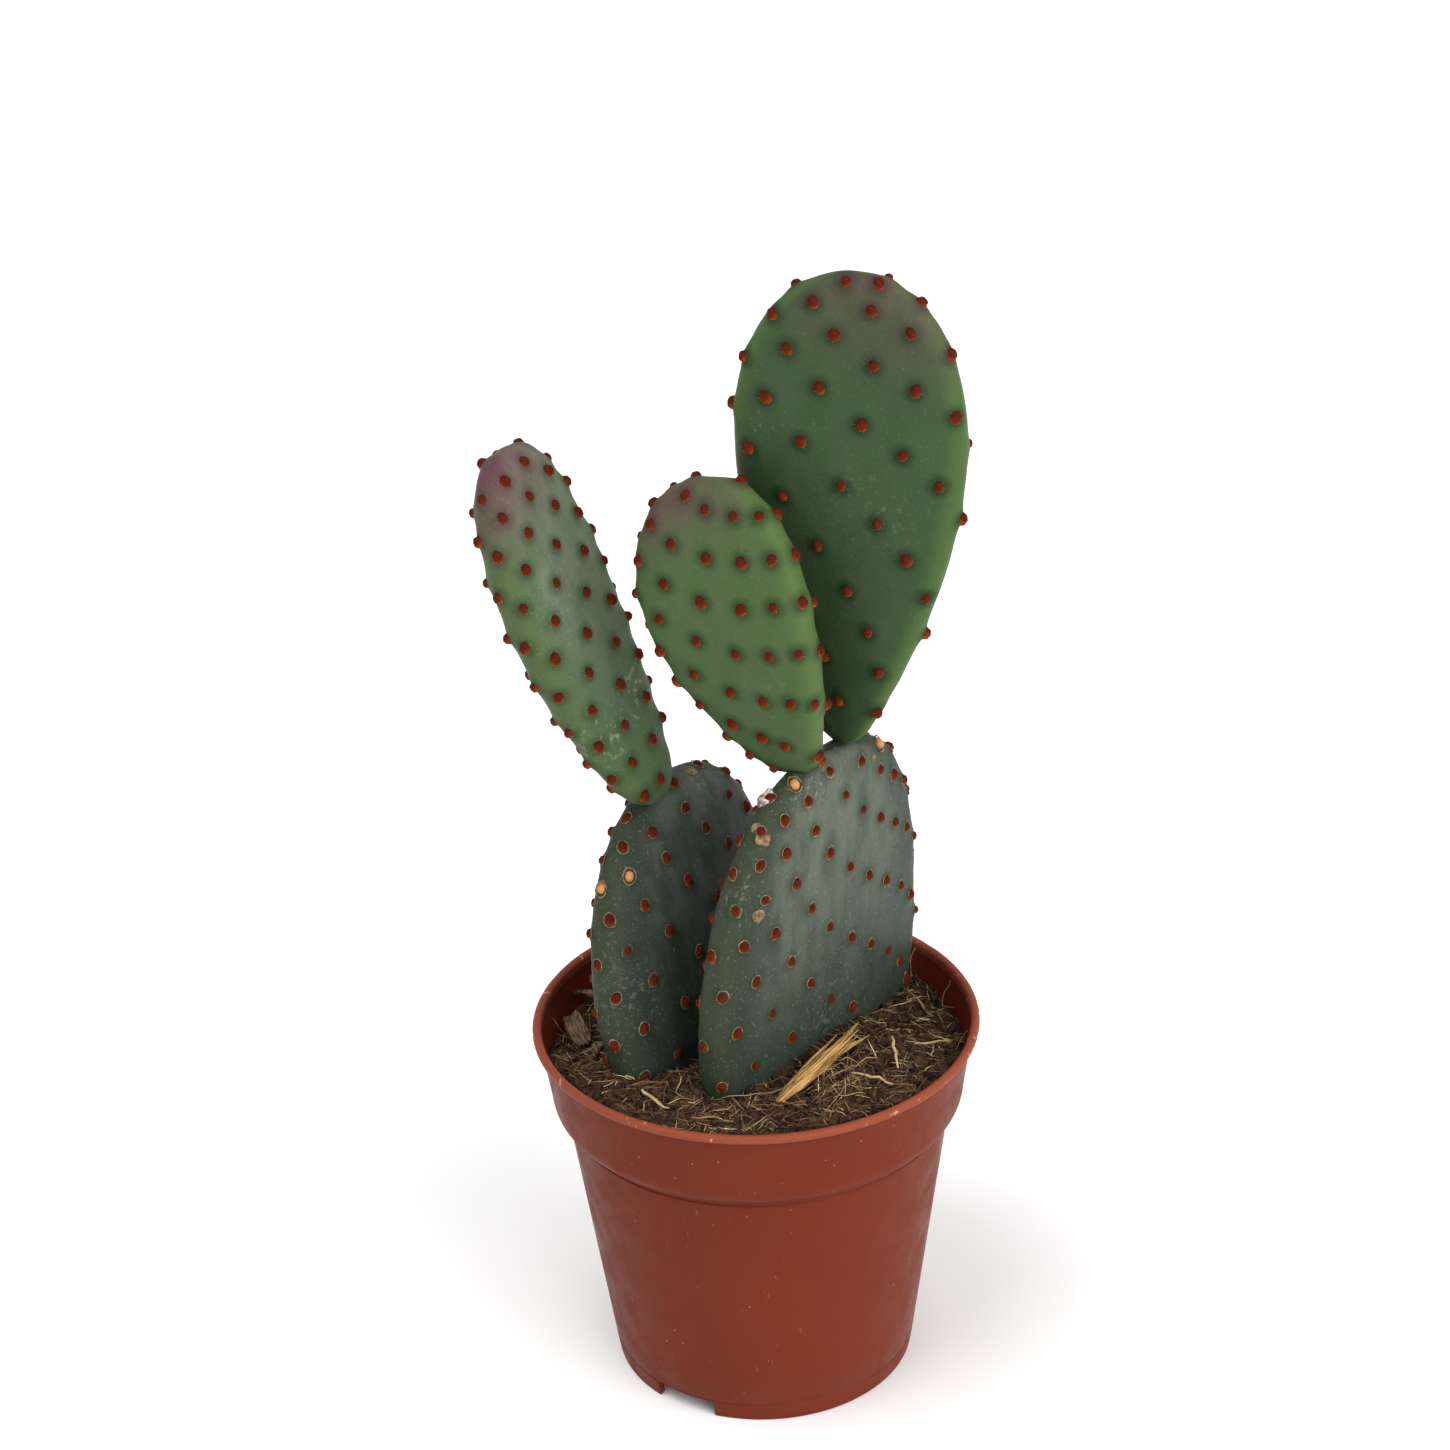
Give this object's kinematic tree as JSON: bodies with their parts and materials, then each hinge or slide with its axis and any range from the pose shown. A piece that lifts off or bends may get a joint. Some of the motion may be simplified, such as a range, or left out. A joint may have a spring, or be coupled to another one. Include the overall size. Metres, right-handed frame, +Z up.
{
  "type": "potted cinnamon cactus",
  "caption": "Small bunny-ear cactus with flat pads and red-brown bristle tufts, standing in soil in a round tapered terracotta-coloured plastic nursery pot.",
  "frame": {"origin": "middle of the bounding box in plan, at the level of the surface that the pot stands on", "axes": "+Z up, -Y towards the viewer of the usual view, +X to the viewer's right"},
  "size_m": [0.0906, 0.085, 0.2252],
  "materials": {
    "pot_plastic": "satin terracotta-coloured plastic, brighter on the lip, lightly scuffed",
    "potting_soil": "dull, crumbly and fibrous peat and coir with pale straw",
    "dry_wood": "dry, split and fibrous, golden",
    "dry_bark": "dry and split, dull brown",
    "old_pad_skin": "waxy blue-grey green skin with red-brown bristle tufts in pale rings",
    "young_pad_skin": "waxy green skin, purplish at the tips, with red-brown bristle tufts"
  },
  "bodies": {
    "root": {"pot": "pot_plastic", "soil": "potting_soil", "wood_splinter": "dry_wood", "bark_chip": "dry_bark", "base_pad_left": "old_pad_skin", "base_pad_right": "old_pad_skin", "top_pad_left": "young_pad_skin", "top_pad_middle": "young_pad_skin", "top_pad_tall": "young_pad_skin"}
  },
  "joints": []
}
